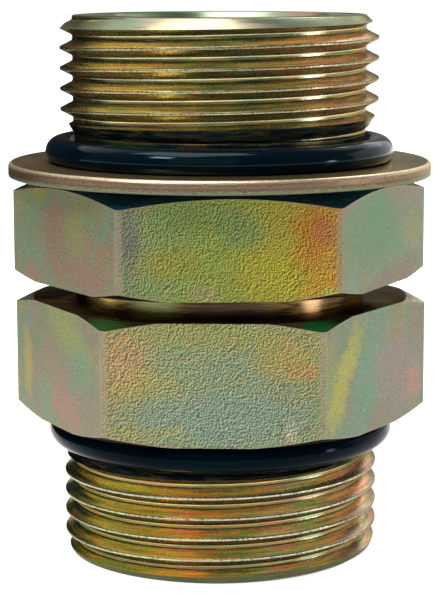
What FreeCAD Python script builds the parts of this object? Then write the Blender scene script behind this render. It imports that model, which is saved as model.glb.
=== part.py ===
import FreeCAD, Part
import math
import os

# Straight hydraulic adapter with an O-ring stud at each end.
# The lower stud is fixed: its O-ring lies under the hexagon. The upper stud is
# adjustable: a lock nut on the same thread holds a backup washer under its O-ring.
# The origin is the middle of the lower end face, and +Z runs up the bore.
# The front of the fitting, where its hexagons nearly face square on, is -Y.

inch = 25.4
vec = FreeCAD.Vector
axis = vec(0, 0, 1)

# Stud thread: 1 5/16 inch, 12 to the inch, right hand, on both studs and under the nut
thread_dia = 1.3125 * inch
thread_pitch = inch / 12
thread_depth = 1.32
thread_crest_flat = 0.26
thread_root_flat = 0.53
thread_overcut = 0.1

# Turned details that go with the thread
relief_step = 0.10
tip_step = 0.05
runout_angle = 30
lead_angle = 45
tip_chamfer_angle = 45
lower_tip_edge = 0.12
lower_tip_step = 0.82
lower_tip_taper = 1.78

# Bore
bore_dia = 21.8
bore_chamfer = 0.6

# Lengths along the axis, from the lower end up
lower_stud_length = 14.76
hex_height = 12.45
neck_gap = 2.15
nut_height = 10.74
washer_thickness = 1.45
upper_stud_length = 15.15
neck_length = 2.9

# Where a thread crest passes the front, from each stud's own end
upper_crest_from_tip = 2.84
lower_crest_from_tip = 11.14
lock_crest_from_neck = 1.0

# Where each full thread stops, short of its relief
upper_relief_room = 2.9
lower_relief_room = 2.3
lock_thread_step = 0.3

# Hexagons, for a 1 1/2 inch wrench: the wall is from the thread's crest to a flat, and each
# round end face is wider than the flats by its own step
hex_wall = 2.33
hex_corner_radius = 1.2
hex_top_step = 1.5
hex_bottom_step = 0.8
hex_chamfer_angle = 22
body_turn = -2.1
nut_turn = 2.9
nut_top_step = 0.8
nut_top_angle = 30
nut_bottom_step = 1.8

# Nut thread and its clearance on the body
nut_minor_step = 0.20
nut_crest_clearance = 0.10
nut_flank_clearance = 0.08
nut_sink = 0.25

# Backup washer, with a conical seat for the O-ring round its hole
washer_width = 5.43
washer_slack = 0.10
washer_top_round = 0.45
washer_bottom_edge = 0.15
washer_seat_angle = 45

# O-rings
oring_section = 3.0
oring_stretch_gap = 0.02
oring_seat_gap = 0.02
oring_washer_gap = 0.10
oring_sink = 0.42

# Levels and radii that follow from the sizes above
crest_r = thread_dia / 2
root_r = crest_r - thread_depth
relief_r = root_r - relief_step
tip_r = root_r - tip_step
bore_r = bore_dia / 2
hex_across_flats = thread_dia + 2 * hex_wall
hex_bottom_z = lower_stud_length
hex_top_z = hex_bottom_z + hex_height
nut_bottom_z = hex_top_z + neck_gap
nut_top_z = nut_bottom_z + nut_height
washer_top_z = nut_top_z + washer_thickness
upper_end_z = washer_top_z + upper_stud_length
lock_start_z = hex_top_z + neck_length
relief_wall = crest_r - relief_r
oring_r = oring_section / 2
oring_middle_r = relief_r + oring_stretch_gap + oring_r
oring_high_z = washer_top_z + oring_r - oring_sink
oring_low_z = hex_bottom_z - oring_seat_gap - oring_r
front_turn = 0.75


def cone_run(step, angle):
    """Length along the axis of a cone that rises by step at angle from the axis."""
    return step / math.tan(math.radians(angle))


def revolved(outline):
    """Solid turned about the axis from a closed outline of (radius, height) points."""
    points = [vec(r, 0, z) for r, z in outline]
    face = Part.Face(Part.makePolygon(points + [points[0]]))
    return face.revolve(vec(0, 0, 0), axis, 360)


def helical_sweep(outline, first_z, turns):
    """Closed outline of (radius, height) points, swept up a right-hand helix from +X."""
    path_r = min(r for r, z in outline)
    helix = Part.makeLongHelix(thread_pitch, thread_pitch * turns, path_r, 0)
    points = [vec(r, 0, z) for r, z in outline]
    profile = Part.makePolygon(points + [points[0]])
    sweep = Part.Wire(helix.Edges).makePipeShell([profile], True, True)
    sweep.translate(vec(0, 0, first_z))
    return sweep


def helix_start(centre_z, low_z):
    """Height at +X of a helix that passes the front at centre_z, a whole turn below low_z."""
    at_x = centre_z - front_turn * thread_pitch
    return at_x - thread_pitch * math.ceil((at_x - low_z) / thread_pitch + 1)


def groove_half_width(r):
    """Half the width of the thread's groove at radius r."""
    crest_half = (thread_pitch - thread_crest_flat) / 2
    root_half = thread_root_flat / 2
    return root_half + (crest_half - root_half) * (r - root_r) / thread_depth


def stud_groove(crest_z, low_z, high_z):
    """The helical groove of an outside thread whose crest passes the front at crest_z."""
    outer_r = crest_r + thread_overcut
    wide = groove_half_width(outer_r)
    narrow = groove_half_width(root_r)
    outline = [(outer_r, -wide), (root_r, -narrow), (root_r, narrow), (outer_r, wide)]
    first_z = helix_start(crest_z + thread_pitch / 2, low_z)
    turns = math.ceil((high_z - first_z) / thread_pitch) + 1
    return helical_sweep(outline, first_z, turns)


def hexagon(low_z, high_z, turn, low_step, low_angle, high_step, high_angle):
    """Hexagonal prism with rounded corners, chamfered by a cone at each end."""
    sides = 6
    side_turn = 2 * math.pi / sides
    corner_r = hex_across_flats / 2 / math.cos(side_turn / 2)
    corners = [
        vec(corner_r * math.cos(k * side_turn), corner_r * math.sin(k * side_turn), low_z)
        for k in range(sides + 1)
    ]
    prism = Part.Face(Part.makePolygon(corners)).extrude(vec(0, 0, high_z - low_z))
    upright = [e for e in prism.Edges if abs(e.tangentAt(e.FirstParameter).z) > 0.9]
    prism = prism.makeFillet(hex_corner_radius, upright)
    low_face_r = (hex_across_flats + low_step) / 2
    high_face_r = (hex_across_flats + high_step) / 2
    low_drop = (corner_r - low_face_r) * math.tan(math.radians(low_angle))
    high_drop = (corner_r - high_face_r) * math.tan(math.radians(high_angle))
    envelope = revolved(
        [
            (0, low_z),
            (low_face_r, low_z),
            (corner_r, low_z + low_drop),
            (corner_r, high_z - high_drop),
            (high_face_r, high_z),
            (0, high_z),
        ]
    )
    shape = prism.common(envelope)
    shape.rotate(vec(0, 0, 0), axis, turn)
    return shape


def adapter_body():
    """The one-piece body: bar turned to two studs and a neck, with the hexagon between."""
    lower_crest_top = hex_bottom_z - lower_relief_room - cone_run(relief_wall, runout_angle)
    lock_crest_low = lock_start_z + cone_run(relief_wall, lead_angle)
    lock_crest_high = nut_top_z + lock_thread_step
    lock_relief_z = lock_crest_high + cone_run(relief_wall, lead_angle)
    upper_relief_top = washer_top_z + upper_relief_room
    upper_crest_low = upper_relief_top + cone_run(relief_wall, runout_angle)
    tip_drop = cone_run(crest_r - tip_r, tip_chamfer_angle)
    blank = revolved(
        [
            (0, 0),
            (tip_r, 0),
            (tip_r + lower_tip_step, lower_tip_edge),
            (crest_r, lower_tip_edge + lower_tip_taper),
            (crest_r, lower_crest_top),
            (relief_r, hex_bottom_z - lower_relief_room),
            (relief_r, lock_start_z),
            (crest_r, lock_crest_low),
            (crest_r, lock_crest_high),
            (relief_r, lock_relief_z),
            (relief_r, upper_relief_top),
            (crest_r, upper_crest_low),
            (crest_r, upper_end_z - tip_drop),
            (tip_r, upper_end_z),
            (0, upper_end_z),
        ]
    )
    lower_groove = stud_groove(lower_crest_from_tip, 0, hex_bottom_z - lower_relief_room)
    lock_groove = stud_groove(lock_start_z + lock_crest_from_neck, lock_start_z, lock_relief_z)
    upper_groove = stud_groove(upper_end_z - upper_crest_from_tip, upper_relief_top, upper_end_z)
    for groove in (lower_groove, lock_groove, upper_groove):
        blank = blank.cut(groove)
    hexagonal = hexagon(
        hex_bottom_z,
        hex_top_z,
        body_turn,
        hex_bottom_step,
        hex_chamfer_angle,
        hex_top_step,
        hex_chamfer_angle,
    )
    hollow = revolved(
        [
            (0, 0),
            (bore_r + bore_chamfer, 0),
            (bore_r, bore_chamfer),
            (bore_r, upper_end_z - bore_chamfer),
            (bore_r + bore_chamfer, upper_end_z),
            (0, upper_end_z),
        ]
    )
    return blank.fuse(hexagonal).cut(hollow)


def lock_nut():
    """Hexagonal lock nut whose thread runs on the body's with clearance all round."""
    minor_r = root_r + nut_minor_step
    major_r = crest_r + nut_crest_clearance
    sink_r = crest_r + nut_sink
    shape = hexagon(
        nut_bottom_z,
        nut_top_z,
        nut_turn,
        nut_bottom_step,
        hex_chamfer_angle,
        nut_top_step,
        nut_top_angle,
    )
    sink = sink_r - minor_r
    hollow = revolved(
        [
            (0, nut_bottom_z),
            (sink_r, nut_bottom_z),
            (minor_r, nut_bottom_z + sink),
            (minor_r, nut_top_z - sink),
            (sink_r, nut_top_z),
            (0, nut_top_z),
        ]
    )
    inner_r = minor_r - thread_overcut
    wide = thread_pitch / 2 - groove_half_width(inner_r) + nut_flank_clearance
    narrow = thread_pitch / 2 - groove_half_width(major_r) + nut_flank_clearance
    outline = [(inner_r, -wide), (major_r, -narrow), (major_r, narrow), (inner_r, wide)]
    first_z = helix_start(lock_start_z + lock_crest_from_neck, nut_bottom_z)
    turns = math.ceil((nut_top_z - first_z) / thread_pitch) + 1
    return shape.cut(hollow).cut(helical_sweep(outline, first_z, turns))


def backup_washer():
    """Ring on top of the nut: its upper rim worn round, its lower one broken, its hole seated."""
    inner_r = crest_r + washer_slack
    outer_r = inner_r + washer_width
    slope = math.radians(washer_seat_angle)
    clear_r = oring_r + oring_washer_gap
    rise = oring_high_z - washer_top_z
    seat_r = oring_middle_r + (clear_r - rise * math.cos(slope)) / math.sin(slope)
    seat_low_z = washer_top_z - (seat_r - inner_r) * math.tan(slope)
    ring = revolved(
        [
            (inner_r, nut_top_z),
            (outer_r - washer_bottom_edge, nut_top_z),
            (outer_r, nut_top_z + washer_bottom_edge),
            (outer_r, washer_top_z),
            (seat_r, washer_top_z),
            (inner_r, seat_low_z),
        ]
    )
    top_rim = [
        e
        for e in ring.Edges
        if e.BoundBox.ZMin > washer_top_z - washer_top_round
        and e.BoundBox.XMax > outer_r - washer_top_round
    ]
    return ring.makeFillet(washer_top_round, top_rim)


def o_ring(middle_z):
    """Rubber ring stretched on the relief, at the height of its middle."""
    return Part.makeTorus(oring_middle_r, oring_r, vec(0, 0, middle_z))


pieces = {
    "adapter_body": adapter_body(),
    "lock_nut": lock_nut(),
    "backup_washer": backup_washer(),
    "upper_o_ring": o_ring(oring_high_z),
    "lower_o_ring": o_ring(oring_low_z),
}

os.makedirs("parts", exist_ok=True)
for name, shape in pieces.items():
    solid = shape.Solids[0]
    solid.exportStep(f"parts/{name}.step")
    print(f"{name}: {len(shape.Solids)} solid, valid {solid.isValid()}, {solid.Volume:.0f} cubic mm")
print(f"overall length {upper_end_z:.2f} mm")
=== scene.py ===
import bpy
import math
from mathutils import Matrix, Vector


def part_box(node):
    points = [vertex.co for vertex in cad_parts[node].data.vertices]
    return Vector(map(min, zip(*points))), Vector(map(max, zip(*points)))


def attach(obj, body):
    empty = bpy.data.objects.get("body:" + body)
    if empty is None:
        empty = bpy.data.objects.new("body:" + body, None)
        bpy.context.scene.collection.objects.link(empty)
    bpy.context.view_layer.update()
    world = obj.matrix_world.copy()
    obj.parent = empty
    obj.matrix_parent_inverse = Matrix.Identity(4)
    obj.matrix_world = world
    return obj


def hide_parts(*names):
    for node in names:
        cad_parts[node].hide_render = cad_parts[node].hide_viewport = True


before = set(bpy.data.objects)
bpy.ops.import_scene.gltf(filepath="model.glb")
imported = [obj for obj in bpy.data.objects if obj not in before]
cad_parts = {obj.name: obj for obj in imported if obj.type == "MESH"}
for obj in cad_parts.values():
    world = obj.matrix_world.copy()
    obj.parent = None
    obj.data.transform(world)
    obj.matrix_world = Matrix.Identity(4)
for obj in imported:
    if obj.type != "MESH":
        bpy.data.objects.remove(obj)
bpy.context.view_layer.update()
mm = 0.001
lap = 2 * math.pi  # one turn about the axis
sideTurn = lap / 6  # from one side of a hexagon to the next
turnSegments = 192  # facets round every turned surface
mergeReach = 0.0005  # vertices nearer than this become one
slack = 0.001  # levels nearer than this count as one
past = 1  # how far a cutter reaches past what it cuts
upright = 0.05  # a face whose normal rises less than this stands upright
smoothBelow = math.radians(28)  # faces that meet flatter than this are shaded as one


# Levels that the solids give, in millimetres

def levels(node):
    low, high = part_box(node)
    return low.z / mm, high.z / mm


bodyLow, bodyHigh = levels("adapter_body")
nutLow, nutHigh = levels("lock_nut")
washerLow, washerHigh = levels("backup_washer")

thread = {
    "crest": 1.3125 * 25.4 / 2,  # radius over the thread
    "pitch": 25.4 / 12,
    "depth": 1.32,
    "crestFlat": 0.26,
    "rootFlat": 0.53,
    "crestRound": 0.07,
    "rootRound": 0.16,
    "roundSegments": 3,
    "reliefStep": 0.10,
}
thread["root"] = thread["crest"] - thread["depth"]
reliefRadius = thread["root"] - thread["reliefStep"]
reliefWall = thread["crest"] - reliefRadius

hexagon = {
    "halfFlats": thread["crest"] + 2.33,
    "cornerRound": 1.2,
    "cornerSteps": 8,
    "chamfer": math.radians(22),
}


# Modelling helpers. Pieces are shaped in millimetres and finished in metres

def makeActive(piece):
    if bpy.context.mode != "OBJECT":
        bpy.ops.object.mode_set(mode="OBJECT")
    bpy.ops.object.select_all(action="DESELECT")
    piece.select_set(True)
    bpy.context.view_layer.objects.active = piece


def startEditing(piece, element, selected="SELECT"):
    makeActive(piece)
    bpy.ops.object.mode_set(mode="EDIT")
    bpy.ops.mesh.select_mode(type=element)
    bpy.ops.mesh.select_all(action=selected)


def stopEditing():
    bpy.ops.object.mode_set(mode="OBJECT")


def pickParts(piece, element, wanted):
    # selects what passes the wanted test, which gets a vertex's place, an edge's two ends,
    # or a face's centre and normal
    startEditing(piece, element, "DESELECT")
    stopEditing()
    mesh = piece.data
    if element == "VERT":
        for vertex in mesh.vertices:
            vertex.select = wanted(vertex.co)
    if element == "EDGE":
        for edge in mesh.edges:
            ends = [mesh.vertices[i].co for i in edge.vertices]
            edge.select = wanted(*ends)
    if element == "FACE":
        for face in mesh.polygons:
            face.select = wanted(face.center, face.normal)
    bpy.ops.object.mode_set(mode="EDIT")


def applyModifier(piece, kind, **settings):
    makeActive(piece)
    modifier = piece.modifiers.new(kind.title(), kind)
    for key, value in settings.items():
        setattr(modifier, key, value)
    bpy.ops.object.modifier_apply(modifier=modifier.name)


def combine(piece, other, operation):
    applyModifier(piece, "BOOLEAN", operation=operation, solver="EXACT", object=other)
    bpy.data.objects.remove(other)


def tidyMesh(piece):
    startEditing(piece, "VERT")
    bpy.ops.mesh.remove_doubles(threshold=mergeReach)
    bpy.ops.mesh.normals_make_consistent(inside=False)
    stopEditing()


def copyOf(piece):
    twin = piece.copy()
    twin.data = piece.data.copy()
    bpy.context.scene.collection.objects.link(twin)
    return twin


def radiusOf(point):
    return math.hypot(point.x, point.y)


def turnedShape(name, outline):
    # a disc at the outline's first point, extruded up ring by ring
    firstRadius, firstZ = outline[0]
    bpy.ops.mesh.primitive_circle_add(
        vertices=turnSegments, radius=firstRadius, fill_type="NGON", location=(0, 0, firstZ)
    )
    piece = bpy.context.object
    piece.name = name
    bpy.ops.object.transform_apply()
    startEditing(piece, "FACE")
    for (radius, z), (nextRadius, nextZ) in zip(outline, outline[1:]):
        bpy.ops.mesh.extrude_region_move(TRANSFORM_OT_translate={"value": (0, 0, nextZ - z)})
        share = nextRadius / radius
        bpy.ops.transform.resize(value=(share, share, 1), center_override=(0, 0, nextZ))
    stopEditing()
    tidyMesh(piece)
    return piece


def sliceBetween(piece, lowZ, highZ):
    # keeps what lies between two levels, closed again at both cuts
    startEditing(piece, "FACE")
    bpy.ops.mesh.bisect(plane_co=(0, 0, lowZ), plane_no=(0, 0, 1), clear_inner=True)
    bpy.ops.mesh.select_all(action="SELECT")
    bpy.ops.mesh.bisect(plane_co=(0, 0, highZ), plane_no=(0, 0, 1), clear_outer=True)
    bpy.ops.mesh.select_all(action="SELECT")
    bpy.ops.mesh.remove_doubles(threshold=mergeReach)
    bpy.ops.mesh.fill_holes(sides=0)
    stopEditing()
    tidyMesh(piece)


def threadedRod(name, form, frontCrest, lowZ, highZ):
    # one pitch is drawn from root to root, its corners are rounded, and it is screwed up the axis
    pitch = form["pitch"]
    rise = (pitch - form["crestFlat"] - form["rootFlat"]) / 2
    steps = [
        (0, form["rootFlat"] / 2),
        (form["crest"] - form["root"], rise),
        (0, form["crestFlat"]),
        (form["root"] - form["crest"], rise),
        (0, form["rootFlat"] / 2),
    ]
    crestShare = 0.5  # the drawing's crest is half a pitch above its start
    frontShare = 0.75  # from +X, the front comes after three quarters of a turn
    spareTurns = 1.2  # what must lie below the cut
    startZ = frontCrest - (crestShare + frontShare) * pitch
    startZ -= pitch * math.ceil((startZ - lowZ) / pitch + spareTurns)
    bpy.ops.mesh.primitive_plane_add(size=1)
    rod = bpy.context.object
    rod.name = name
    startEditing(rod, "VERT")
    bpy.ops.mesh.merge(type="CENTER")
    bpy.ops.transform.translate(value=(form["root"], 0, startZ))
    for outward, up in steps:
        bpy.ops.mesh.extrude_region_move(TRANSFORM_OT_translate={"value": (outward, 0, up)})
    for corner in ("crest", "root"):
        pickParts(
            rod,
            "VERT",
            lambda co: abs(co.x - form[corner]) < slack and slack < co.z - startZ < pitch - slack,
        )
        bpy.ops.mesh.bevel(
            offset=form[corner + "Round"], segments=form["roundSegments"], affect="VERTICES"
        )
    stopEditing()
    applyModifier(
        rod,
        "SCREW",
        angle=lap,
        screw_offset=pitch,
        iterations=math.ceil((highZ - startZ) / pitch) + 1,
        steps=turnSegments,
        use_merge_vertices=True,
        merge_threshold=mergeReach,
    )
    sliceBetween(rod, lowZ, highZ)
    return rod


def hexagonBlock(name, settings):
    lowZ, highZ = settings["low"], settings["high"]
    cornerRadius = hexagon["halfFlats"] / math.cos(sideTurn / 2)
    bpy.ops.mesh.primitive_cylinder_add(
        vertices=6,
        radius=cornerRadius,
        depth=highZ - lowZ,
        location=(0, 0, (lowZ + highZ) / 2),
        rotation=(0, 0, sideTurn / 2 + settings["turn"]),
    )
    piece = bpy.context.object
    piece.name = name
    bpy.ops.object.transform_apply()
    pickParts(piece, "EDGE", lambda a, b: abs(a.z - b.z) > slack)
    tangent = hexagon["cornerRound"] * math.tan(sideTurn / 2)
    bpy.ops.mesh.bevel(offset=tangent, segments=hexagon["cornerSteps"], affect="EDGES")
    stopEditing()

    # each end's chamfer starts half a step outside the flats
    beyond = cornerRadius + 2 * past
    lowFace = hexagon["halfFlats"] + settings["bottomStep"] / 2
    highFace = hexagon["halfFlats"] + settings["topStep"] / 2
    lowRise = (beyond - lowFace) * math.tan(hexagon["chamfer"])
    highRise = (beyond - highFace) * math.tan(settings["topChamfer"])
    envelope = turnedShape(
        name + "Envelope",
        [(lowFace, lowZ), (beyond, lowZ + lowRise), (beyond, highZ - highRise), (highFace, highZ)],
    )
    combine(piece, envelope, "INTERSECT")
    tidyMesh(piece)
    return piece


# Node helpers: each takes sockets or plain numbers and gives back a socket

def feed(tree, socket, value):
    if isinstance(value, bpy.types.NodeSocket):
        tree.links.new(value, socket)
    else:
        socket.default_value = value


def calculate(tree, operation, first, second=0.0, third=0.0, clamp=False):
    step = tree.nodes.new("ShaderNodeMath")
    step.operation = operation
    step.use_clamp = clamp
    for socket, value in zip(step.inputs, (first, second, third)):
        feed(tree, socket, value)
    return step.outputs[0]


def multiply(tree, *factors):
    product = factors[0]
    for factor in factors[1:]:
        product = calculate(tree, "MULTIPLY", product, factor)
    return product


def swing(tree, noise, width):
    # turns a noise about 0.5 into a push about 0
    return calculate(tree, "MULTIPLY_ADD", noise, width, -width / 2)


def shiftPlace(tree, operation, first, second):
    step = tree.nodes.new("ShaderNodeVectorMath")
    step.operation = operation
    feed(tree, step.inputs[0], first)
    feed(tree, step.inputs[1], second)
    return step.outputs["Value" if operation == "LENGTH" else "Vector"]


def mixColours(tree, share, first, second, how="MIX"):
    step = tree.nodes.new("ShaderNodeMix")
    step.data_type = "RGBA"
    step.blend_type = how
    firstColour, secondColour = step.inputs[6:8]
    feed(tree, step.inputs[0], share)
    feed(tree, firstColour, first)
    feed(tree, secondColour, second)
    return step.outputs[2]


def multiplyColour(tree, colour, factor):
    return mixColours(tree, 1.0, colour, factor, "MULTIPLY")


def softStep(tree, value, start, end, atStart=0.0, atEnd=1.0):
    step = tree.nodes.new("ShaderNodeMapRange")
    step.interpolation_type = "SMOOTHSTEP"
    for socket, number in zip(step.inputs[:5], (value, start, end, atStart, atEnd)):
        feed(tree, socket, number)
    return step.outputs[0]


def grain(tree, place, scale, detail=2.0, roughness=0.5, output=0):
    # scale counts grains in a millimetre; output 0 is a number and 1 a colour
    step = tree.nodes.new("ShaderNodeTexNoise")
    feed(tree, step.inputs["Vector"], place)
    feed(tree, step.inputs["Scale"], scale)
    feed(tree, step.inputs["Detail"], detail)
    feed(tree, step.inputs["Roughness"], roughness)
    return step.outputs[output]


def remap(tree, place, shift=(0, 0, 0), turn=(0, 0, 0), scale=(1, 1, 1), kind="POINT"):
    step = tree.nodes.new("ShaderNodeMapping")
    step.vector_type = kind
    feed(tree, step.inputs["Vector"], place)
    feed(tree, step.inputs["Location"], shift)
    feed(tree, step.inputs["Rotation"], turn)
    feed(tree, step.inputs["Scale"], scale)
    return step.outputs[0]


def tone(red, green, blue):
    # a colour as it looks on a screen, 0 to 255, by the sRGB curve in the linear numbers of shaders
    parts = [value / 255 for value in (red, green, blue)]
    return tuple(p / 12.92 if p < 0.04 else ((p + 0.055) / 1.055) ** 2.4 for p in parts) + (1.0,)


def colourRow(tree, share, stops, onScreen=True):
    # stops are (position, red, green, blue), in numbers as seen on a screen or else in factors
    row = tree.nodes.new("ShaderNodeValToRGB")
    elements = row.color_ramp.elements
    elements.remove(elements[1])
    colours = [(start, tone(*parts) if onScreen else (*parts, 1)) for start, *parts in stops]
    elements[0].position, elements[0].color = colours[0]
    for position, colour in colours[1:]:
        elements.new(position).color = colour
    feed(tree, row.inputs[0], share)
    return row.outputs[0]


def startMaterial(name, metallic):
    # gives the tree, the object's own place in millimetres, and the shader
    material = bpy.data.materials.new(name)
    material.use_nodes = True
    tree = material.node_tree
    shader = tree.nodes["Principled BSDF"]
    shader.inputs["Metallic"].default_value = metallic
    coordinates = tree.nodes.new("ShaderNodeTexCoord")
    place = remap(tree, coordinates.outputs["Object"], scale=(1 / mm, 1 / mm, 1 / mm))
    return material, tree, place, shader


def splitPlace(tree, place):
    step = tree.nodes.new("ShaderNodeSeparateXYZ")
    feed(tree, step.inputs[0], place)
    return step.outputs


def raised(tree, height):
    step = tree.nodes.new("ShaderNodeCombineXYZ")
    feed(tree, step.inputs[2], height)
    return step.outputs[0]


def radiusIn(tree, place):
    return shiftPlace(tree, "LENGTH", remap(tree, place, scale=(1, 1, 0)), (0, 0, 0))


def coat(tree, shader, colour, roughness, specular, tint):
    feed(tree, shader.inputs["Base Color"], colour)
    feed(tree, shader.inputs["Roughness"], roughness)
    shader.inputs["Specular IOR Level"].default_value = specular
    shader.inputs["Specular Tint"].default_value = tint


def roughen(tree, shader, height, depth, strength):
    # depth in millimetres
    bump = tree.nodes.new("ShaderNodeBump")
    bump.inputs["Strength"].default_value = strength
    bump.inputs["Distance"].default_value = depth * mm
    feed(tree, bump.inputs["Height"], height)
    tree.links.new(bump.outputs[0], shader.inputs["Normal"])


def wander(tree, place, scale, reach):
    # the place pushed about by a slow noise, so that colour edges run unevenly
    push = shiftPlace(tree, "SUBTRACT", grain(tree, place, scale, 3, 0.55, 1), (0.5, 0.5, 0.5))
    return shiftPlace(tree, "ADD", place, shiftPlace(tree, "MULTIPLY", push, (reach, reach, reach)))


def addTint(tree, place, ragged, ground, middle, size, colour, strength, turn=(0, 0, 0)):
    # a ragged patch of colour round middle, for stains and for painted light and shade; size is its
    # half width, depth and half height, and colour is as seen on a screen
    near = shiftPlace(tree, "LENGTH", remap(tree, place, middle, turn, size, "TEXTURE"), (0, 0, 0))
    share = softStep(tree, calculate(tree, "ADD", near, ragged), 1.4, 0.4, 0.0, strength)
    return mixColours(tree, share, ground, tone(*colour))


# What surfaces mirror at a grazing view: plain ones white, and the plating this

plain = (1, 1, 1, 1)
edgeTint = (0.5, 0.42, 0.3, 1)
usualSpecular = 0.5


# Plating on the threads. The bands run over one thread upwards from the middle of its crest:
# silver crest, upper flank, root darkened as painted shade with one bright line as a painted
# highlight, lower flank in dark brown as painted shade, crest again.
# The flank's colours run from the left edge of the stud to its right edge: film colours with
# painted reflection, darker at the left edge and pale at the right. The streaks are drawn out
# along the thread. The painted glint is a painted highlight in each root, right of the front

upperThreadLook = {
    # the dark root and dark lower flank are painted shade, the bright line in the root a painted
    # highlight
    "bands": [
        (0.00, 160, 154, 122), (0.05, 164, 158, 120), (0.08, 156, 136, 80), (0.34, 152, 132, 76),
        (0.38, 74, 68, 42), (0.44, 116, 114, 72), (0.49, 66, 62, 40), (0.535, 84, 78, 50),
        (0.555, 214, 216, 180), (0.575, 150, 146, 108), (0.60, 84, 70, 44), (0.76, 70, 54, 34),
        (0.90, 50, 38, 26), (0.94, 120, 110, 80), (1.00, 160, 154, 122),
    ],
    # film colours and painted reflection across the stud, dark at the left edge and pale at the
    # right
    "flank": [
        (0.00, 70, 58, 36), (0.06, 104, 88, 54), (0.11, 226, 208, 128), (0.26, 228, 208, 126),
        (0.38, 172, 158, 100), (0.50, 148, 138, 94), (0.62, 168, 156, 106), (0.72, 206, 178, 130),
        (0.82, 222, 184, 148), (0.92, 230, 194, 174), (0.97, 180, 162, 146),
        (1.00, 130, 118, 104),
    ],
    "streaks": [
        (0.36, 208, 150, 120), (0.42, 212, 176, 104), (0.48, 206, 184, 108), (0.52, 156, 154, 88),
        (0.56, 82, 130, 86), (0.60, 34, 96, 96), (0.66, 24, 52, 62),
    ],
    "streakShare": 0.7,
    "rootShare": 0.5,
    # how strong the painted highlight in the roots is
    "paintedGlint": 0.54,
}
lowerThreadLook = {
    # the dark root and dark lower flank are painted shade, the bright line in the root a painted
    # highlight
    "bands": [
        (0.00, 184, 186, 164), (0.045, 188, 190, 164), (0.075, 168, 148, 84),
        (0.35, 180, 156, 82), (0.39, 120, 104, 54), (0.46, 96, 84, 48), (0.53, 66, 56, 34),
        (0.55, 206, 196, 132), (0.57, 120, 104, 60), (0.60, 86, 70, 42), (0.78, 96, 74, 44),
        (0.91, 70, 54, 34), (0.95, 150, 146, 120), (1.00, 184, 186, 164),
    ],
    # film colours and painted reflection across the stud, dark at the left edge and pale at the
    # right
    "flank": [
        (0.00, 70, 58, 38), (0.05, 108, 92, 56), (0.11, 216, 200, 106), (0.28, 230, 206, 108),
        (0.42, 220, 168, 90), (0.52, 178, 156, 98), (0.60, 158, 160, 108), (0.68, 196, 174, 150),
        (0.76, 172, 182, 132), (0.84, 196, 176, 140), (0.90, 214, 162, 150),
        (0.96, 216, 184, 176), (1.00, 176, 160, 150),
    ],
    "streaks": [
        (0.37, 216, 150, 150), (0.42, 212, 150, 96), (0.48, 222, 194, 106), (0.52, 176, 176, 94),
        (0.57, 88, 148, 88), (0.62, 44, 108, 104),
    ],
    "streakShare": 0.72,
    "rootShare": 0.3,
    # how strong the painted highlight in the roots is
    "paintedGlint": 0.35,
}

# What both threads share. A zone runs over the thread as the bands do, from where it starts to
# where it is full; those of the crest and the root go by the distance from the root's middle

threadFilm = {
    "metal": 0.85,
    "lines": ((0.09, 0.09, 0.30), 13.0, 5, 0.7),
    "hue": ((0.13, 0.13, 0.22), 4.5, 4, 0.6),
    "speck": (3.4, 4, 0.75),
    "crest": (0.44, 0.47),
    "root": (0.10, 0.16),
    "flankStart": (0.05, 0.09),
    "flankEnd": (0.38, 0.32),
    "streaksStart": (0.06, 0.24),
    "streaksEnd": (0.46, 0.36),
    # where the painted highlight in each root lies across the thread, its width round the axis, its
    # middle and its colour
    "paintedGlintStart": (0.34, 0.42),
    "paintedGlintEnd": (0.70, 0.60),
    "paintedGlintWidth": (0.15, 0.04),
    "paintedGlintAngle": math.radians(-53),  # from +X; the front is at -90
    "paintedGlint": tone(212, 228, 192),
    "chips": tone(88, 80, 52),
    "flecks": [(0.34, 1.30, 0.92, 0.90), (0.50, 1.0, 1.0, 1.0), (0.66, 0.72, 1.06, 1.16)],
}


def alongThread(tree, place, across, scale, spread, detail, roughness):
    # a grain that is drawn out round the axis and changes quickly across each thread
    slow = remap(tree, place, scale=scale)
    quick = raised(tree, multiply(tree, across, spread))
    return grain(tree, shiftPlace(tree, "ADD", slow, quick), 1.0, detail, roughness)


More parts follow.
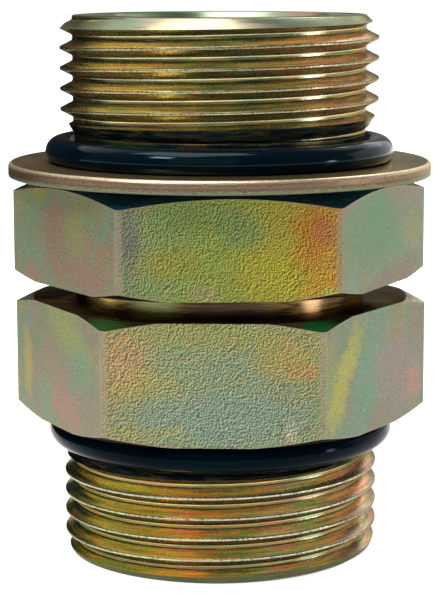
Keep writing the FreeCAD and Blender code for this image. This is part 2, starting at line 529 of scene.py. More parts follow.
def threadPlating(name, look, frontCrest):
    material, tree, place, shader = startMaterial(name, threadFilm["metal"])
    x, y, z = splitPlace(tree, place)
    angle = calculate(tree, "ARCTAN2", y, x)
    rise = calculate(tree, "DIVIDE", calculate(tree, "SUBTRACT", z, frontCrest), thread["pitch"])
    turns = calculate(tree, "MULTIPLY_ADD", angle, 1 / lap, 0.25)
    across = calculate(tree, "FRACT", calculate(tree, "SUBTRACT", rise, turns))
    fromRoot = calculate(tree, "ABSOLUTE", calculate(tree, "SUBTRACT", across, 0.5))
    crest = softStep(tree, fromRoot, *threadFilm["crest"])
    lines = alongThread(tree, place, across, *threadFilm["lines"])
    hue = alongThread(tree, place, across, *threadFilm["hue"])
    speck = grain(tree, place, *threadFilm["speck"])

    # bands across the thread with their painted shade and painted highlight, and the film on its
    # flanks with painted reflection at the stud's edges
    waver = calculate(tree, "ADD", swing(tree, lines, 0.06), swing(tree, speck, 0.05))
    colour = colourRow(tree, calculate(tree, "ADD", across, waver), look["bands"])
    drift = wander(tree, place, 0.16, 6.0)
    side = calculate(tree, "MULTIPLY_ADD", splitPlace(tree, drift)[0], 0.5 / thread["crest"], 0.5)
    side = calculate(tree, "ADD", side, swing(tree, lines, 0.14))
    flank = multiply(
        tree,
        softStep(tree, across, *threadFilm["flankStart"]),
        softStep(tree, across, *threadFilm["flankEnd"]),
    )
    elsewhere = multiply(
        tree,
        softStep(tree, fromRoot, *threadFilm["crest"], 0.42, 0.12),
        softStep(tree, fromRoot, *threadFilm["root"], 0.2, 1.0),
    )
    film = calculate(tree, "MAXIMUM", flank, elsewhere)
    colour = mixColours(tree, film, colour, colourRow(tree, side, look["flank"]))

    # streaks, strongest between the crest and the root
    streaked = multiply(
        tree,
        softStep(tree, across, *threadFilm["streaksStart"], 0.3, 0.75),
        softStep(tree, across, *threadFilm["streaksEnd"], look["rootShare"], 1.0),
        softStep(tree, crest, 1.0, 0.0, 0.15, look["streakShare"]),
    )
    colour = mixColours(tree, streaked, colour, colourRow(tree, hue, look["streaks"]))

    # the painted highlight in the root
    aside = calculate(tree, "SUBTRACT", angle, threadFilm["paintedGlintAngle"])
    aside = calculate(tree, "ADD", calculate(tree, "ABSOLUTE", aside), swing(tree, lines, 0.24))
    paintedGlint = multiply(
        tree,
        softStep(tree, aside, *threadFilm["paintedGlintWidth"], 0.0, look["paintedGlint"]),
        softStep(tree, across, *threadFilm["paintedGlintStart"]),
        softStep(tree, across, *threadFilm["paintedGlintEnd"]),
    )
    colour = mixColours(tree, paintedGlint, colour, threadFilm["paintedGlint"])

    # chips of the crest, then light and dark lines and coloured scratches
    chips = multiply(tree, crest, softStep(tree, speck, 0.50, 0.40, 0.0, 0.8))
    colour = mixColours(tree, chips, colour, threadFilm["chips"])
    colour = multiplyColour(tree, colour, softStep(tree, lines, 0.34, 0.64, 0.66, 1.36))
    scratches = grain(tree, remap(tree, place, scale=(0.5, 0.5, 7.0)), 1.0, 4, 0.7)
    colour = multiplyColour(tree, colour, colourRow(tree, scratches, threadFilm["flecks"], False))
    roughness = softStep(tree, speck, 0.3, 0.7, 0.15, 0.30)
    coat(tree, shader, colour, roughness, usualSpecular, edgeTint)
    height = calculate(tree, "ADD", lines, multiply(tree, speck, 0.5))
    roughen(tree, shader, height, 0.03, 0.6)
    return material


# Plating on the turned surfaces: necks, reliefs, chamfers, end faces and the bore. A tint is
# (middle, half sizes, colour, strength)

neckLook = {
    "metal": 0.9,
    "film": [
        (0.30, 70, 48, 36), (0.40, 122, 100, 58), (0.47, 62, 50, 36), (0.54, 146, 118, 68),
        (0.62, 80, 54, 42), (0.70, 130, 92, 66),
    ],
    "tints": [
        # the first tint is a painted highlight right of the front, the second a painted highlight
        # left of it; the last is painted shade low on the neck, between the hexagon and the nut
        ((9.3, -12.1, 28.6), (1.2, 1.5, 2.2), (240, 200, 150), 0.7),
        ((-12.4, -8.9, 28.6), (2.2, 3.0, 2.2), (216, 192, 110), 0.85),
        ((-6.6, -13.7, 28.2), (2.8, 2.0, 2.2), (140, 148, 92), 0.75),
        ((0.4, -15.2, 28.2), (4.6, 2.0, 2.2), (52, 40, 36), 0.8),
    ],
}
# the reliefs are painted dark blue-black: painted shade in the grooves and run-outs
reliefLook = {
    "metal": 0.9,
    "film": [
        (0.34, 16, 44, 60), (0.44, 44, 66, 72), (0.49, 20, 50, 62), (0.53, 140, 134, 104),
        (0.56, 36, 60, 68), (0.66, 78, 92, 84),
    ],
    "tints": [
        ((-9.5, -12.0, 43.7), (4.0, 3.0, 0.8), (96, 160, 70), 0.8),
        ((-2.6, -15.0, 43.7), (1.6, 2.0, 0.7), (190, 110, 60), 0.8),
        ((2.6, -15.0, 43.7), (1.6, 2.0, 0.7), (96, 104, 96), 0.6),
        ((9.0, -12.2, 43.8), (2.2, 2.0, 0.8), (180, 140, 84), 0.8),
    ],
}
chamferLook = {
    "metal": 0.15,
    "film": [(0.30, 44, 38, 26), (0.45, 66, 56, 36), (0.58, 38, 36, 26), (0.72, 76, 62, 44)],
    "tints": [
        ((-11.4, -17.5, 27.0), (2.2, 3.0, 1.2), (48, 88, 38), 0.9),
        ((9.8, -17.8, 27.0), (1.9, 3.0, 1.2), (18, 92, 46), 0.9),
        # the pale patch on the body's top right chamfer is the film's pinkish colour brightened
        # near white as painted light
        ((21.4, -3.6, 26.6), (4.4, 8.0, 2.4), (255, 236, 216), 1.0),
        ((-20.6, -3.0, 26.6), (3.6, 6.0, 1.6), (118, 110, 94), 0.85),
        ((14.8, -10.6, 26.9), (4.6, 5.0, 1.0), (112, 90, 46), 0.7),
    ],
}
# the nut's top chamfer under the washer is painted dark blue-black: painted shade
paintedShadeLook = {
    "metal": 0.0,
    "film": [(0.30, 14, 52, 74), (0.50, 22, 60, 82), (0.72, 38, 64, 74)],
    "tints": [],
}
topEndLook = {
    "metal": 0.85,
    "film": [
        (0.30, 128, 138, 112), (0.45, 156, 168, 146), (0.58, 140, 156, 132),
        (0.72, 176, 156, 136),
    ],
    # the top end's tints are partly the film's colours and partly painted reflection: a pale
    # painted highlight at the front and a dark patch at the right
    "tints": [
        ((-14.0, -8.0, 56.2), (4.0, 5.0, 2.0), (112, 118, 88), 0.9),
        ((-8.0, 11.5, 56.2), (6.0, 7.0, 2.0), (84, 112, 76), 0.8),
        ((10.5, 10.5, 56.2), (3.6, 6.0, 2.0), (206, 140, 116), 0.85),
        ((15.0, 4.0, 56.2), (2.6, 6.0, 2.0), (66, 50, 50), 0.9),
        ((14.2, -7.5, 56.2), (3.2, 4.0, 2.0), (148, 158, 132), 0.8),
        ((-3.2, -15.8, 56.0), (7.0, 3.0, 1.8), (170, 152, 124), 0.9),
    ],
}
# the lower tip's downward faces and bottom edge are painted dark green: painted shade
lowerTipLook = {
    "metal": 0.5,
    "film": [(0.30, 78, 84, 58), (0.48, 98, 100, 70), (0.60, 84, 96, 66), (0.72, 108, 98, 76)],
    "tints": [],
}


def turnedPlating(name, look):
    material, tree, place, shader = startMaterial(name, look["metal"])
    roundAxis = remap(tree, place, scale=(0.09, 0.09, 2.6))
    streak = grain(tree, roundAxis, 1.0, 5, 0.65)
    cloud = grain(tree, wander(tree, place, 0.2, 3.0), 0.12, 2)
    film = calculate(tree, "ADD", multiply(tree, cloud, 0.5), multiply(tree, streak, 0.5))
    colour = colourRow(tree, film, look["film"])
    ragged = swing(tree, streak, 0.8)
    for middle, size, patchColour, strength in look["tints"]:
        colour = addTint(tree, place, ragged, colour, middle, size, patchColour, strength)
    coat(tree, shader, colour, softStep(tree, streak, 0.3, 0.7, 0.18, 0.34), 0.25, edgeTint)
    roughen(tree, shader, streak, 0.02, 0.4)
    return material


# Plating on a hexagon: pebbled front and back with painted light and shade on the bumps and painted
# shade in pits, satin sides, worn corners, wear with a painted highlight along the chamfer edges,
# and film colours in soft stains. A stain is (side, across, height, half width, half height, tilt,
# colour, strength); side 0 is the front, sides count to the right, and across runs to the right as
# a side is faced

pebbles = {
    "metal": 0.35,
    "bumps": (4.8, 3, 0.62),
    "fine": (9.0, 3, 0.7),
    "light": (-0.06, 0.0, 0.07),  # the light painted on the bumps comes from up left
    "gain": 4.6,
    "satin": 0.22,  # how much of that light the satin sides show
    "stainDepth": 2.5,
    "wornCorner": (21.60, 21.72),  # radius where the wear starts, and where it is full
    "wornEdgeAndHighlight": (0.22, 0.03),  # the same for the wear and painted highlight, as distance from a chamfer's cone
    "flecks": [(0.34, 1.20, 0.92, 0.88), (0.50, 1.0, 1.0, 1.0), (0.66, 0.84, 1.05, 1.08)],
}


def hexPlating(name, settings):
    material, tree, place, shader = startMaterial(name, pebbles["metal"])
    local = remap(tree, place, turn=(0, 0, -settings["turn"]))
    drift = wander(tree, place, 0.30, 2.4)
    fine = grain(tree, place, *pebbles["fine"])
    bumps = grain(tree, place, *pebbles["bumps"])

    # ground colours: one film all round, and a row of colours across the front
    colour = colourRow(tree, grain(tree, drift, 0.11, 3, 0.5), settings["film"])
    x, y = splitPlace(tree, wander(tree, local, 0.45, 2.2))[:2]
    flats = hexagon["halfFlats"]
    depth = calculate(tree, "ABSOLUTE", splitPlace(tree, local)[1])
    pebbled = softStep(tree, depth, flats - 0.5, flats - 0.05)
    front = multiply(tree, pebbled, softStep(tree, y, 1.0, -1.0))
    ground = calculate(tree, "MULTIPLY_ADD", x, 0.5 / flats, 0.5)
    colour = mixColours(tree, front, colour, colourRow(tree, ground, settings["frontGround"]))

    # stains
    ragged = swing(tree, grain(tree, place, 0.8, 4, 0.7), 1.6)
    for side, across, height, halfWidth, halfHeight, tilt, patchColour, strength in settings["stains"]:
        angle = settings["turn"] + side * sideTurn
        middle = (
            across * math.cos(angle) + flats * math.sin(angle),
            across * math.sin(angle) - flats * math.cos(angle),
            height,
        )
        size = (halfWidth, pebbles["stainDepth"], halfHeight)
        turn = (0, math.radians(tilt), angle)
        colour = addTint(tree, drift, ragged, colour, middle, size, patchColour, strength, turn)

    # painted light and shade on the sides of the bumps, coloured flecks, and painted shade in pits
    beside = grain(tree, shiftPlace(tree, "ADD", place, pebbles["light"]), *pebbles["bumps"])
    lit = calculate(tree, "SUBTRACT", bumps, beside)
    patchy = softStep(tree, grain(tree, place, 0.6), 0.35, 0.65, 0.7, 1.3)
    reach = multiply(tree, softStep(tree, pebbled, 0.0, 1.0, pebbles["satin"], 1.0), patchy)
    lit = calculate(tree, "MULTIPLY_ADD", multiply(tree, lit, reach), pebbles["gain"], 0.5)
    colour = multiplyColour(tree, colour, colourRow(tree, lit, settings["relief"], False))
    flecks = colourRow(tree, grain(tree, place, 2.4, 3, 0.7), pebbles["flecks"], False)
    colour = multiplyColour(tree, colour, flecks)
    pitShade = softStep(tree, grain(tree, place, 3.4, 2, 0.5), 0.30, 0.40, 0.55, 1.0)
    colour = mixColours(tree, pebbled, colour, multiplyColour(tree, colour, pitShade))

    # wear of the corners, and wear with a painted highlight along the edges to the chamfers
    radius = radiusIn(tree, place)
    z = splitPlace(tree, place)[2]
    wearAndEdgeHighlight = softStep(tree, radius, *pebbles["wornCorner"])
    for level, step, slope in (
        (settings["high"], settings["topStep"], -math.tan(settings["topChamfer"])),
        (settings["low"], settings["bottomStep"], math.tan(hexagon["chamfer"])),
    ):
        start = flats + step / 2
        cone = calculate(tree, "MULTIPLY_ADD", radius, slope, level - start * slope)
        gap = calculate(tree, "ABSOLUTE", calculate(tree, "SUBTRACT", z, cone))
        edge = softStep(tree, gap, *pebbles["wornEdgeAndHighlight"], 0.0, 0.8)
        wearAndEdgeHighlight = calculate(tree, "MAXIMUM", wearAndEdgeHighlight, edge)
    wearAndEdgeHighlight = multiply(tree, wearAndEdgeHighlight, softStep(tree, fine, 0.3, 0.6, 0.25, 0.7))
    colour = mixColours(tree, wearAndEdgeHighlight, colour, settings["corner"])
    colour = multiplyColour(tree, colour, softStep(tree, fine, 0.25, 0.75, 0.78, 1.18))
    coat(tree, shader, colour, softStep(tree, fine, 0.3, 0.7, 0.40, 0.56), 0.2, plain)
    relief = multiply(tree, bumps, softStep(tree, pebbled, 0.0, 1.0, 0.12, 1.0))
    relief = calculate(tree, "ADD", relief, multiply(tree, fine, 0.08))
    roughen(tree, shader, relief, 0.22, 1.0)
    return material


# The adapter body: threaded stretches cut to the turned outline, with the hexagon between

body = {
    "low": 14.76,  # the hexagon's levels
    "high": 27.21,
    "neck": 2.9,
    "lowerRelief": 2.3,
    "upperRelief": 2.9,
    "lowerSeam": 1.6,  # a thread joins the blank this far below the hexagon,
    "lockSeam": 1.4,  # this far below the lock thread,
    "upperSeam": 2.1,  # and this far above the nut
    "lockEnd": 0.3,  # the lock thread's end, above the nut
    "lowerCrestFront": 11.14,  # where a crest passes the front
    "upperCrestFront": 2.84,  # the same, down from the top
    "lockCrestFront": 1.0,  # the same, up from the neck's end
    "tip": thread["root"] - 0.05,
    "tipEdge": 0.12,
    "tipStep": 0.82,
    "tipTaper": 1.78,
    "runOut": math.radians(30),
    "edgeBreak": 0.07,
    "bore": 10.9,
    "boreChamfer": 0.6,
    "endDepth": 1.45,  # how far the top end's look reaches down,
    "endEdge": 0.12,  # and down its edge,
    "endSlopes": (0.6, 0.8),  # on faces whose normals rise this much
    "tipDepth": 1.95,  # the same for the lower tip, upwards
    "tipEdgeDepth": 0.25,
    "tipSlopes": (-0.75, -0.2),
    "turn": math.radians(-2.1),
    "topStep": 1.5,
    "topChamfer": hexagon["chamfer"],
    "bottomStep": 0.8,
    "film": [
        (0.30, 120, 133, 98), (0.42, 136, 137, 92), (0.50, 116, 137, 110), (0.60, 140, 128, 106),
        (0.70, 124, 133, 96),
    ],
    "frontGround": [
        (0.22, 155, 148, 104), (0.30, 154, 152, 110), (0.36, 144, 155, 118),
        (0.60, 140, 154, 126), (0.78, 146, 150, 112),
    ],
    # painted light and shade on the bumps, from their shaded side to their lit side
    "relief": [
        (0.10, 0.34, 0.36, 0.42), (0.34, 0.74, 0.77, 0.86), (0.50, 1.02, 1.02, 1.02),
        (0.68, 1.36, 1.30, 1.10), (0.92, 2.0, 1.86, 1.5),
    ],
    # colour of the worn corners, and of the painted highlight along the chamfer edges
    "corner": tone(172, 160, 134),
    "stains": [
        (0, -0.1, 26.2, 10.0, 2.0, 0, (152, 152, 92), 0.75),
        (0, -8.8, 22.9, 2.6, 3.2, 0, (184, 149, 110), 0.7),
        (0, -6.8, 20.8, 3.4, 1.6, 0, (168, 160, 98), 0.6),
        (0, 7.4, 23.6, 3.8, 2.4, 0, (170, 152, 84), 0.7),
        (0, 8.6, 22.3, 1.8, 1.0, 0, (186, 144, 92), 0.55),
        (0, 0.5, 17.6, 10.0, 2.6, 0, (134, 154, 138), 0.85),
        (0, -6.8, 16.2, 4.0, 1.0, 0, (160, 158, 104), 0.6),
        (0, 7.6, 16.1, 0.55, 1.2, 0, (182, 172, 152), 0.95),
        (-1, 3.2, 24.8, 6.4, 2.4, 25, (147, 151, 86), 0.8),
        (-1, -7.4, 20.0, 1.0, 4.2, 0, (166, 153, 72), 0.75),
        (-1, -0.6, 21.2, 4.4, 1.7, 40, (148, 125, 106), 0.75),
        (-1, 6.2, 21.9, 4.0, 2.0, 20, (116, 142, 110), 0.8),
        (-1, -3.0, 17.7, 2.4, 2.2, 0, (130, 139, 105), 0.7),
        (-1, 2.4, 17.1, 3.6, 2.6, 20, (166, 122, 106), 0.75),
        (1, -1.8, 20.8, 3.2, 7.0, 24, (114, 145, 118), 0.85),
        (1, 4.8, 20.6, 5.0, 4.8, 0, (148, 131, 124), 0.8),
        (1, -9.4, 19.6, 2.0, 6.0, 0, (134, 148, 98), 0.8),
        (1, -6.8, 21.4, 1.7, 6.0, 32, (166, 162, 80), 0.95),
        (1, 8.2, 18.3, 1.9, 2.2, 0, (178, 134, 118), 0.7),
    ],
}
lockLow = body["high"] + body["neck"]  # where the thread under the nut starts
lockFront = lockLow + body["lockCrestFront"]


def bodyBlank():
    crest, tip = thread["crest"], body["tip"]
    cone = reliefWall / math.tan(body["runOut"])
    lockHigh = nutHigh + body["lockEnd"]
    lowerRelief = body["low"] - body["lowerRelief"]
    upperRelief = washerHigh + body["upperRelief"]
    blank = turnedShape(
        "bodyBlank",
        [
            (tip, bodyLow),
            (tip + body["tipStep"], bodyLow + body["tipEdge"]),
            (crest, bodyLow + body["tipEdge"] + body["tipTaper"]),
            (crest, lowerRelief - cone),
            (reliefRadius, lowerRelief),
            (reliefRadius, lockLow),
            (crest, lockLow + reliefWall),
            (crest, lockHigh),
            (reliefRadius, lockHigh + reliefWall),
            (reliefRadius, upperRelief),
            (crest, upperRelief + cone),
            (crest, bodyHigh - (crest - tip)),
            (tip, bodyHigh),
        ],
    )
    applyModifier(
        blank,
        "BEVEL",
        width=body["edgeBreak"],
        segments=2,
        limit_method="ANGLE",
        angle_limit=math.radians(20),
    )
    return blank


def makeBody():
    blank = bodyBlank()
    seams = (
        body["low"] - body["lowerSeam"],
        lockLow - body["lockSeam"],
        nutHigh + body["upperSeam"],
    )
    stretches = [
        (bodyLow - past, seams[0], body["lowerCrestFront"]),
        (seams[1], seams[2], lockFront),
        (seams[2], bodyHigh + past, bodyHigh - body["upperCrestFront"]),
    ]
    threads = []
    for lowZ, highZ, frontCrest in stretches:
        rod = threadedRod("bodyThread", thread, frontCrest, lowZ, highZ)
        combine(rod, copyOf(blank), "INTERSECT")
        threads.append(rod)
    sliceBetween(blank, seams[0], seams[1])
    combine(blank, hexagonBlock("bodyHexagon", body), "UNION")
    makeActive(blank)
    for rod in threads:
        rod.select_set(True)
    bpy.ops.object.join()
    pickParts(
        blank,
        "FACE",
        lambda centre, normal: abs(normal.z) > 0.9
        and min(abs(centre.z - seam) for seam in seams) < slack,
    )
    bpy.ops.mesh.delete(type="ONLY_FACE")
    stopEditing()
    tidyMesh(blank)
    bore, chamfer = body["bore"], body["boreChamfer"]
    borer = turnedShape(
        "borer",
        [
            (bore + chamfer + past, bodyLow - past),
            (bore, bodyLow + chamfer),
            (bore, bodyHigh - chamfer),
            (bore + chamfer + past, bodyHigh + past),
        ],
    )
    combine(blank, borer, "DIFFERENCE")
    blank.name = "platedBody"
    return blank


def bodyRegion(centre, normal):
    # names the material of a face; the bore looks like the neck below and like the end above
    radius, z = radiusOf(centre), centre.z
    inBore = radius < body["bore"] + body["boreChamfer"] + 0.1
    onHexagon = body["low"] - 0.01 < z < body["high"] + 0.01 and radius > reliefRadius + 0.05
    onRelief = abs(radius - reliefRadius) < 0.02 and abs(normal.z) < upright
    onRunOut = abs(abs(normal.z) - math.sin(body["runOut"])) < 0.03
    least, most = body["endSlopes"]
    onEnd = least < normal.z < most or z > bodyHigh - body["endEdge"]
    onEnd = onEnd and z > bodyHigh - body["endDepth"]
    least, most = body["tipSlopes"]
    onTip = least < normal.z < most or z < bodyLow + body["tipEdgeDepth"]
    onTip = onTip and z < bodyLow + body["tipDepth"]
    if inBore:
        return "topEnd" if z > bodyHigh / 2 else "neck"
    if onHexagon:
        return "flats" if abs(normal.z) < upright else "chamfers"
    if onEnd:
        return "topEnd"
    if onTip:
        return "lowerTip"
    if onRelief:
        return "neck" if body["low"] < z < nutHigh else "relief"
    if onRunOut:
        return "relief"
    if z < body["low"]:
        return "lowerThread"
    return "lockThread" if z < washerHigh else "upperThread"


# The lock nut

nut = {
    "low": nutLow,
    "high": nutHigh,
    "turn": math.radians(2.9),
    "topStep": -3.6,
    "topChamfer": math.radians(20),
    "bottomStep": 1.8,
    "minorStep": 0.20,
    "crestRoom": 0.10,
    "flankRoom": 0.08,
    "sink": 0.25,  # how far the 45 degree sinks stand out past the crests,
    "sinkDeeper": 0.3,  # and how far their tools reach in past the roots
    "film": [
        (0.30, 130, 140, 102), (0.42, 136, 132, 94), (0.50, 120, 140, 110), (0.60, 148, 126, 102),
        (0.70, 130, 132, 92),
    ],
    "frontGround": [
        (0.22, 128, 134, 102), (0.30, 134, 146, 92), (0.42, 140, 152, 76), (0.54, 148, 154, 70),
        (0.64, 166, 156, 62), (0.72, 184, 146, 56), (0.78, 188, 136, 56),
    ],
    # painted light and shade on the bumps, from their shaded side to their lit side
    "relief": [
        (0.10, 0.30, 0.34, 0.36), (0.34, 0.72, 0.76, 0.80), (0.50, 1.0, 1.0, 1.0),
        (0.68, 1.26, 1.24, 1.16), (0.92, 1.75, 1.72, 1.6),
    ],
    # colour of the worn corners, and of the painted highlight along the chamfer edges
    "corner": tone(164, 152, 124),
    "stains": [
        (0, -10.2, 36.0, 1.6, 3.6, 0, (112, 112, 100), 0.8),
        (0, -3.4, 37.6, 5.0, 2.2, 0, (116, 142, 80), 0.6),
        (0, 1.0, 36.4, 2.6, 1.8, 0, (116, 146, 104), 0.4),
        (0, 4.4, 32.4, 4.4, 3.0, 0, (172, 162, 52), 0.6),
        (0, -5.8, 33.0, 3.0, 1.6, 0, (154, 146, 54), 0.6),
        (0, 8.0, 35.4, 2.0, 3.4, 0, (182, 122, 44), 0.7),
        (0, 9.2, 36.3, 1.6, 1.6, 0, (182, 104, 70), 0.65),
        (0, 9.8, 30.4, 0.8, 0.7, 0, (176, 176, 80), 0.9),
        (0, -2.6, 30.2, 1.6, 0.8, 0, (156, 146, 104), 0.7),
        (-1, -5.4, 38.7, 2.6, 0.9, 0, (160, 146, 62), 0.8),
        (-1, -6.7, 35.3, 2.0, 3.6, 0, (120, 140, 106), 0.8),
        (-1, -1.6, 34.1, 1.9, 4.2, 0, (146, 112, 94), 0.65),
        (-1, 2.9, 35.3, 2.0, 3.6, 0, (142, 143, 90), 0.8),
        (-1, 3.6, 31.2, 6.4, 1.5, 5, (150, 116, 100), 0.7),
        (1, -2.5, 35.4, 8.0, 4.4, 0, (97, 137, 99), 0.85),
        (1, 1.2, 29.9, 9.0, 1.6, -10, (131, 115, 98), 0.8),
        (1, 7.6, 34.4, 2.4, 1.8, 0, (142, 142, 88), 0.7),
    ],
}


def makeNut():
    piece = hexagonBlock("platedNut", nut)
    rise = (thread["pitch"] - thread["crestFlat"] - thread["rootFlat"]) / 2 / thread["depth"]
    inner = dict(thread)
    inner["root"] = thread["root"] + nut["minorStep"]
    inner["crest"] = thread["crest"] + nut["crestRoom"]
    inner["crestFlat"] = thread["crestFlat"] + 2 * (nut["flankRoom"] - nut["crestRoom"] * rise)
    inner["rootFlat"] = thread["rootFlat"] + 2 * (nut["minorStep"] * rise - nut["flankRoom"])
    tap = threadedRod("tap", inner, lockFront, nutLow - past, nutHigh + past)
    combine(piece, tap, "DIFFERENCE")
    wide = thread["crest"] + nut["sink"] + past
    narrow = inner["root"] - nut["sinkDeeper"]
    run = wide - narrow
    for outline in (
        [(wide, nutLow - past), (narrow, nutLow - past + run)],
        [(narrow, nutHigh + past - run), (wide, nutHigh + past)],
    ):
        combine(piece, turnedShape("sink", outline), "DIFFERENCE")
    tidyMesh(piece)
    return piece


def nutRegion(centre, normal):
    # names the material of a face
    inHole = radiusOf(centre) < thread["crest"] + nut["sink"] + 0.1
    if inHole and abs(normal.z) < 0.99:
        return "thread"
    if abs(normal.z) < upright:
        return "flats"
    return "underWasher" if normal.z > 0 else "chamfers"


# The O-rings: each a torus, with the fine line that the mould leaves round the outside

ring = {
    "section": 1.5,
    "middle": reliefRadius + 1.52,
    "ridge": 0.02,
    "segments": 56,
    "colour": tone(0, 14, 25),
    "smear": tone(12, 24, 30),
    "dust": tone(90, 92, 88),
    "mirrored": (0.55, 0.85, 1.0, 1),
}


# The backup washer, its top rim worn round

washer = {
    "hole": thread["crest"] + 0.10,
    "radius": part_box("backup_washer")[1].x / mm - 0.004,  # a hair inside the solid's box
    "topRound": 0.45,
    "bottomEdge": 0.15,
    "mirrored": (0.84, 0.80, 0.62, 1),  # seen low, the top is near a mirror of the O-ring
    "ringRoom": 0.10,  # between the O-ring and its conical seat
    "film": [
        (0.28, 140, 122, 80), (0.42, 160, 138, 94), (0.52, 170, 140, 104), (0.62, 146, 134, 90),
        (0.75, 176, 152, 112),
    ],
    # down the rim: a painted highlight along the top edge, then darker towards the bottom as
    # painted shade
    "bands": [
        (0.00, 214, 198, 168), (0.20, 206, 186, 156), (0.28, 130, 104, 84), (0.50, 126, 99, 78),
        (0.62, 88, 76, 56), (0.76, 102, 99, 80), (0.92, 104, 107, 84), (1.00, 64, 62, 44),
    ],
    # the top is lightened on the left and darkened on the right: painted light and painted shade
    "tints": [
        ((-20.4, -3.0, washerHigh), (3.4, 12.0, 3.0), (186, 168, 128), 0.8),
        ((20.4, -3.0, washerHigh), (3.0, 10.0, 3.0), (100, 94, 66), 0.85),
    ],
}


def makeWasher():
    hole, radius = washer["hole"], washer["radius"]
    piece = turnedShape("platedWasher", [(radius, washerLow), (radius, washerHigh)])
    for level, size, segments in (
        (washerHigh, washer["topRound"], 5),
        (washerLow, washer["bottomEdge"], 2),
    ):
        pickParts(piece, "EDGE", lambda a, b: max(abs(a.z - level), abs(b.z - level)) < slack)
        bpy.ops.mesh.bevel(offset=size, segments=segments, affect="EDGES")
        stopEditing()
    punch = turnedShape("punch", [(hole, washerLow - past), (hole, washerHigh + past)])
    combine(piece, punch, "DIFFERENCE")

    # the seat is a cone of 45 degrees that stays clear of the O-ring's section
    ringLow, ringHigh = levels("upper_o_ring")
    rise = (ringLow + ringHigh) / 2 - washerHigh
    reach = (ring["section"] + washer["ringRoom"]) / math.sin(math.pi / 4)
    seatRadius = ring["middle"] + reach - rise
    seatLow = (seatRadius - 2 * past, washerHigh - 2 * past)
    seatHigh = (seatRadius + past, washerHigh + past)
    combine(piece, turnedShape("seat", [seatLow, seatHigh]), "DIFFERENCE")
    tidyMesh(piece)
    return piece


def washerPlating():
    material, tree, place, shader = startMaterial("washerPlating", 0.85)
    cloud = grain(tree, wander(tree, place, 0.3, 3.0), 0.22, 3)
    speck = grain(tree, remap(tree, place, scale=(1, 1, 2.5)), 2.6, 4, 0.75)
    colour = colourRow(tree, cloud, washer["film"])
    for middle, size, patchColour, strength in washer["tints"]:
        colour = addTint(tree, place, cloud, colour, middle, size, patchColour, strength)

    # the rim's bands, from its top edge to its bottom edge, with a painted highlight at the top and
    # painted shade lower down
    rim = softStep(tree, radiusIn(tree, place), washer["radius"] - 0.5, washer["radius"] - 0.2)
    down = calculate(tree, "SUBTRACT", washerHigh, splitPlace(tree, place)[2])
    down = calculate(tree, "ADD", down, swing(tree, speck, 0.7))
    down = calculate(tree, "DIVIDE", down, washerHigh - washerLow)
    colour = mixColours(tree, rim, colour, colourRow(tree, down, washer["bands"]))
    colour = multiplyColour(tree, colour, softStep(tree, speck, 0.3, 0.7, 0.65, 1.3))
    roughness = softStep(tree, rim, 0.0, 1.0, 0.22, 0.38)
    coat(tree, shader, colour, roughness, usualSpecular, washer["mirrored"])
    roughen(tree, shader, speck, 0.03, 0.5)
    return material


def makeRing(name, node):
    low, high = levels(node)
    bpy.ops.mesh.primitive_torus_add(
        location=(0, 0, (low + high) / 2),
        major_segments=turnSegments,
        minor_segments=ring["segments"],
        major_radius=ring["middle"],
        minor_radius=ring["section"],
    )
    piece = bpy.context.object
    piece.name = name
    bpy.ops.object.transform_apply()
    outside = ring["middle"] + ring["section"]
    pickParts(piece, "VERT", lambda co: radiusOf(co) > outside - slack)
    share = 1 + ring["ridge"] / outside
    bpy.ops.transform.resize(value=(share, share, 1))
    stopEditing()
    return piece


def ringRubber(name, shine):
    material, tree, place, shader = startMaterial(name, 0.0)
    smear = grain(tree, place, 0.5, 4, 0.6)
    dust = grain(tree, place, 4.0, 5, 0.7)
    smeared = softStep(tree, smear, 0.45, 0.8, 0.0, 0.2)
    dusty = softStep(tree, dust, 0.70, 0.78, 0.0, 0.6)
    colour = mixColours(tree, smeared, ring["colour"], ring["smear"])
    colour = mixColours(tree, dusty, colour, ring["dust"])
    roughness = softStep(tree, smear, 0.3, 0.75, 0.07, 0.15)
    coat(tree, shader, colour, roughness, shine, ring["mirrored"])
    roughen(tree, shader, dust, 0.004, 0.4)
    return material


def finishPiece(piece, node, owner, materials, region=None):
    # region names which of the materials a face takes, by its centre and normal
    makeActive(piece)
    piece.scale = (mm, mm, mm)
    bpy.ops.object.transform_apply()
    piece.data.materials.clear()
    for material in materials.values():
        piece.data.materials.append(material)
    names = list(materials)
    if region:
        for face in piece.data.polygons:
            face.material_index = names.index(region(face.center / mm, face.normal))
    bpy.ops.object.shade_smooth_by_angle(angle=smoothBelow)
    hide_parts(node)
    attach(piece, owner)
    print(piece.name, "has", len(piece.data.polygons), "faces")


print("making the platings that pieces share")
lockThreadPlating = threadPlating("lockThreadPlating", upperThreadLook, lockFront)
chamferPlating = turnedPlating("chamferPlating", chamferLook)

print("making the adapter body")
upperFront = bodyHigh - body["upperCrestFront"]
lowerFront = body["lowerCrestFront"]
bodyMaterials = {
    "upperThread": threadPlating("upperThreadPlating", upperThreadLook, upperFront),
    "lowerThread": threadPlating("lowerThreadPlating", lowerThreadLook, lowerFront),
    "lockThread": lockThreadPlating,
    "neck": turnedPlating("neckPlating", neckLook),
    "flats": hexPlating("bodyHexPlating", body),
    "chamfers": chamferPlating,
    "topEnd": turnedPlating("topEndPlating", topEndLook),
    "lowerTip": turnedPlating("lowerTipPlating", lowerTipLook),
    "relief": turnedPlating("reliefPlating", reliefLook),
}
finishPiece(makeBody(), "adapter_body", "adapter", bodyMaterials, bodyRegion)

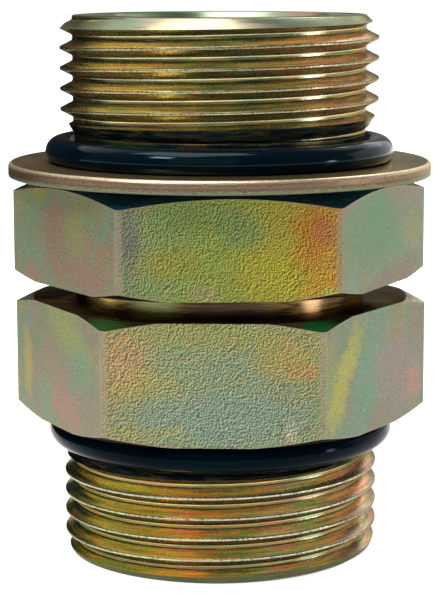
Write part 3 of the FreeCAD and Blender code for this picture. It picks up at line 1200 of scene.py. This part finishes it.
print("making the lock nut and the washer")
nutMaterials = {
    "thread": lockThreadPlating,
    "flats": hexPlating("nutHexPlating", nut),
    "underWasher": turnedPlating("paintedShadePlating", paintedShadeLook),
    "chamfers": chamferPlating,
}
finishPiece(makeNut(), "lock_nut", "nut", nutMaterials, nutRegion)
washerMaterials = {"whole": washerPlating()}
finishPiece(makeWasher(), "backup_washer", "washer", washerMaterials)

print("making the O-rings")
for name, node, rubberName, shine in (
    ("upperRing", "upper_o_ring", "upperRubber", 0.15),
    ("lowerRing", "lower_o_ring", "lowerRubber", 0.04),
):
    rubber = {"whole": ringRubber(rubberName, shine)}
    finishPiece(makeRing(name, node), node, "adapter", rubber)


# Camera where the photographer's was, in millimetres and radians

view = {
    "back": 221.84,
    "up": 62.13,
    "tip": math.radians(9.1125),
    "roll": math.radians(0.117),
    "sensor": 36,
    "lens": 126.58,
    "shift": 0.0013,
    "nearest": 10,
}
bpy.ops.object.camera_add(
    location=(0, -view["back"] * mm, view["up"] * mm),
    rotation=(math.pi / 2 - view["tip"], view["roll"], 0),
)
camera = bpy.context.object
camera.name = "viewCamera"
camera.data.sensor_fit = "VERTICAL"
camera.data.sensor_height = view["sensor"]
camera.data.lens = view["lens"]
camera.data.shift_x = view["shift"]
camera.data.clip_start = view["nearest"] * mm
bpy.context.scene.camera = camera


# Pale floor: it takes the shadow, and reads as white paper to the eye and to the metal

studio = {
    "floorSize": 12,
    "floorColour": (0.7, 0.7, 0.7, 1),
    "floorRoughness": 0.9,
    "paperGlow": 0.87,
    "room": (0.22, 0.22, 0.22, 1),
}
bpy.ops.mesh.primitive_plane_add(size=studio["floorSize"])
floor = bpy.context.object
floor.name = "studioFloor"
paper = bpy.data.materials.new("paper")
paper.use_nodes = True
tree = paper.node_tree
shader = tree.nodes["Principled BSDF"]
shader.inputs["Base Color"].default_value = studio["floorColour"]
shader.inputs["Roughness"].default_value = studio["floorRoughness"]
shader.inputs["Emission Color"].default_value = (1, 1, 1, 1)
rays = tree.nodes.new("ShaderNodeLightPath")
seen = calculate(tree, "ADD", rays.outputs["Is Camera Ray"], rays.outputs["Is Glossy Ray"])
seen = calculate(tree, "ADD", seen, rays.outputs["Is Transmission Ray"], clamp=True)
glow = multiply(tree, seen, studio["paperGlow"])
tree.links.new(glow, shader.inputs["Emission Strength"])
floor.data.materials.append(paper)

world = bpy.data.worlds.new("studioRoom")
bpy.context.scene.world = world
world.use_nodes = True
world.node_tree.nodes["Background"].inputs["Color"].default_value = studio["room"]


# A dark card behind on the left, seen only in reflections, keeps the left edges dark

darkCard = {
    "place": (-0.09, 0.10, 0.05),
    "size": (0.24, 0.14),
    "colour": (0.02, 0.018, 0.015, 1),
}
bpy.ops.mesh.primitive_plane_add(
    size=1,
    location=darkCard["place"],
    rotation=Vector(darkCard["place"]).to_track_quat("Z", "Y").to_euler(),
)
card = bpy.context.object
card.name = "darkCard"
card.scale = (*darkCard["size"], 1)
card.visible_camera = False
card.visible_diffuse = False
card.visible_shadow = False
card.visible_transmission = False
cardPaint = bpy.data.materials.new("cardPaint")
cardPaint.use_nodes = True
cardShader = cardPaint.node_tree.nodes["Principled BSDF"]
cardShader.inputs["Base Color"].default_value = darkCard["colour"]
cardShader.inputs["Roughness"].default_value = 1.0
card.data.materials.append(cardPaint)


# Soft lamps: azimuth to the right of the camera, elevation, then distance, width and height in
# metres, and power in watts

lamps = {
    "overhead": (-60, 78, 0.50, 0.34, 0.34, 1.9),
    "key": (-46, 46, 0.60, 0.12, 0.12, 1.1),
    "rightStrip": (76, 1, 0.60, 0.06, 0.16, 0.50),
    "rightBack": (130, 10, 0.80, 1.00, 0.60, 1.6),
    "backCard": (-170, 46, 0.90, 1.80, 0.80, 3.8),
    "backSpot": (157, 48, 0.80, 0.20, 0.24, 1.3),
    "frontFill": (-12, 28, 0.90, 0.70, 0.60, 0.6),
}
aim = Vector((0, 0, 0.03))
for name, (azimuth, elevation, distance, width, height, power) in lamps.items():
    around, lift = math.radians(azimuth), math.radians(elevation)
    level = math.cos(lift)
    outward = Vector((math.sin(around) * level, -math.cos(around) * level, math.sin(lift)))
    bpy.ops.object.light_add(
        type="AREA",
        location=aim + distance * outward,
        rotation=outward.to_track_quat("Z", "Y").to_euler(),
    )
    lamp = bpy.context.object
    lamp.name = name
    lamp.data.shape = "RECTANGLE"
    lamp.data.size = width
    lamp.data.size_y = height
    lamp.data.energy = power
    lamp.visible_camera = False

bpy.context.scene.view_settings.view_transform = "Standard"
print("scene is ready")
